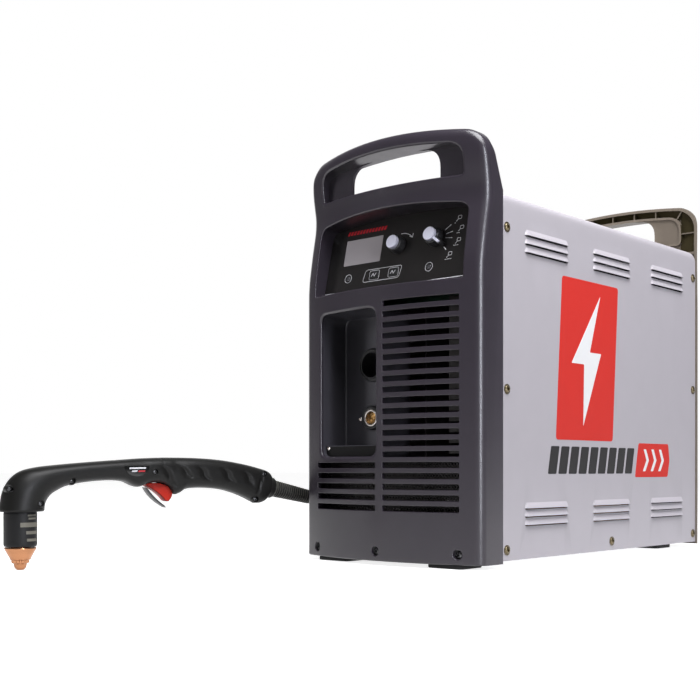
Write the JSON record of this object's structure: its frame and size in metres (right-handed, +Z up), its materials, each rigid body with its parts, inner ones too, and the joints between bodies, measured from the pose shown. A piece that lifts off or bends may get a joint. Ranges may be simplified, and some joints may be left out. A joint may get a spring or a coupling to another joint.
{
  "type": "plasma cutter unit",
  "caption": "Portable plasma cutting power unit with front and rear carrying handles, louvred cover, control panel, connector bay, and a hand torch on its coiled lead.",
  "frame": {"origin": "bottom centre of the box round the unit and its torch, on the floor", "axes": "+Z up, -Y the way the unit's control panel faces, +X the unit's right side seen from the front"},
  "size_m": [0.5471, 1.0237, 0.5078],
  "materials": {
    "bezel_plastic": "fine grained moulded charcoal",
    "cover_paint": "pale grey powder coat",
    "zinc_sheet": "zinc plated sheet",
    "rubber": "matt black",
    "panel_plastic": "satin black overlay",
    "display_glass": "grey liquid crystal behind a clear window",
    "black_plastic": "satin black",
    "knob_cap_plastic": "pale grey",
    "indicator_plastic": "smoked lens",
    "brass": "machined",
    "copper": "machined copper",
    "circuit_board": "green solder mask",
    "aluminium": "extruded",
    "transformer_winding": "varnished winding and core",
    "black_sheet": "black painted sheet",
    "torch_plastic": "fine grained dark grey moulding",
    "trigger_plastic": "red moulding",
    "lead_sheath": "smooth black sheath",
    "filter_bowl": "pale translucent bowl"
  },
  "bodies": {
    "unit": {"front_bezel": "bezel_plastic", "rear_bezel": "bezel_plastic", "cover": "cover_paint", "base_plate": "zinc_sheet", "rear_panel": "black_sheet", "centre_wall": "zinc_sheet", "front_left_foot": "rubber", "front_right_foot": "rubber", "rear_left_foot": "rubber", "rear_right_foot": "rubber", "control_panel": "panel_plastic", "display_window": "display_glass", "power_light": "indicator_plastic", "fault_light": "indicator_plastic", "connector_bay": "bezel_plastic", "torch_receptacle": "black_plastic", "work_lead_socket": "black_plastic", "work_lead_contact": "brass", "front_screen": "black_sheet", "air_baffle": "black_sheet", "fan_frame": "black_plastic", "heat_sink": "aluminium", "power_board": "circuit_board", "front_capacitor": "black_plastic", "rear_capacitor": "black_plastic", "transformer": "transformer_winding", "inductor": "transformer_winding", "control_board": "circuit_board", "gas_solenoid_valve": "zinc_sheet", "power_switch_body": "black_plastic", "mains_gland_body": "black_plastic", "mains_gland_nut": "black_plastic", "gas_inlet_fitting": "brass", "air_filter": "filter_bowl", "interface_cover": "zinc_sheet", "torch_handle_left": "torch_plastic", "torch_handle_right": "torch_plastic", "torch_head": "brass", "retaining_cap": "black_plastic", "nozzle": "copper", "electrode": "copper", "shield": "copper", "strain_relief": "rubber", "torch_lead": "lead_sheath", "torch_lead_coil": "lead_sheath", "torch_lead_tail": "lead_sheath", "lead_connector": "black_plastic"},
    "adjustment_dial": {"adjustment_knob": "black_plastic", "adjustment_knob_cap": "knob_cap_plastic"},
    "mode_dial": {"mode_knob": "black_plastic", "mode_knob_cap": "knob_cap_plastic"},
    "display_key": {"display_button": "black_plastic"},
    "gas_test_key": {"gas_test_button": "black_plastic"},
    "power_switch": {"power_switch_knob": "trigger_plastic"},
    "fan": {"fan_rotor": "black_plastic"},
    "torch_trigger": {"trigger": "trigger_plastic"},
    "torch_safety": {"trigger_safety": "black_plastic"}
  },
  "joints": [
    {"name": "adjustment_turn", "type": "hinge", "parent": "unit", "child": "adjustment_dial", "pos_m": [0.06853, -0.08425, 0.38564], "axis": [0, -0.9744, 0.225], "continuous": true},
    {"name": "mode_turn", "type": "hinge", "parent": "unit", "child": "mode_dial", "pos_m": [0.12483, -0.0838, 0.38759], "axis": [0, -0.9744, 0.225], "range_deg": [0, 73]},
    {"name": "display_press", "type": "slide", "parent": "unit", "child": "display_key", "axis": [0, 0.9744, -0.225], "range_m": [0, 0.0008], "stiffness_N_per_m": 800},
    {"name": "gas_test_press", "type": "slide", "parent": "unit", "child": "gas_test_key", "axis": [0, 0.9744, -0.225], "range_m": [0, 0.0008], "stiffness_N_per_m": 800},
    {"name": "power_turn", "type": "hinge", "parent": "unit", "child": "power_switch", "pos_m": [-0.00187, 0.44753, 0.355], "axis": [0, 1, 0], "range_deg": [0, 90]},
    {"name": "fan_spin", "type": "hinge", "parent": "unit", "child": "fan", "pos_m": [0.00813, 0.41253, 0.15], "axis": [0, 1, 0], "continuous": true},
    {"name": "trigger_press", "type": "hinge", "parent": "unit", "child": "torch_trigger", "pos_m": [-0.15563, -0.2912, 0.0935], "axis": [0.9788, -0.2048, 0], "range_deg": [0, 8], "stiffness_Nm_per_rad": 0.6},
    {"name": "safety_flip", "type": "hinge", "parent": "torch_trigger", "child": "torch_safety", "pos_m": [-0.15563, -0.2912, 0.0935], "axis": [-0.9788, 0.2048, 0], "range_deg": [0, 35], "stiffness_Nm_per_rad": 0.05}
  ]
}
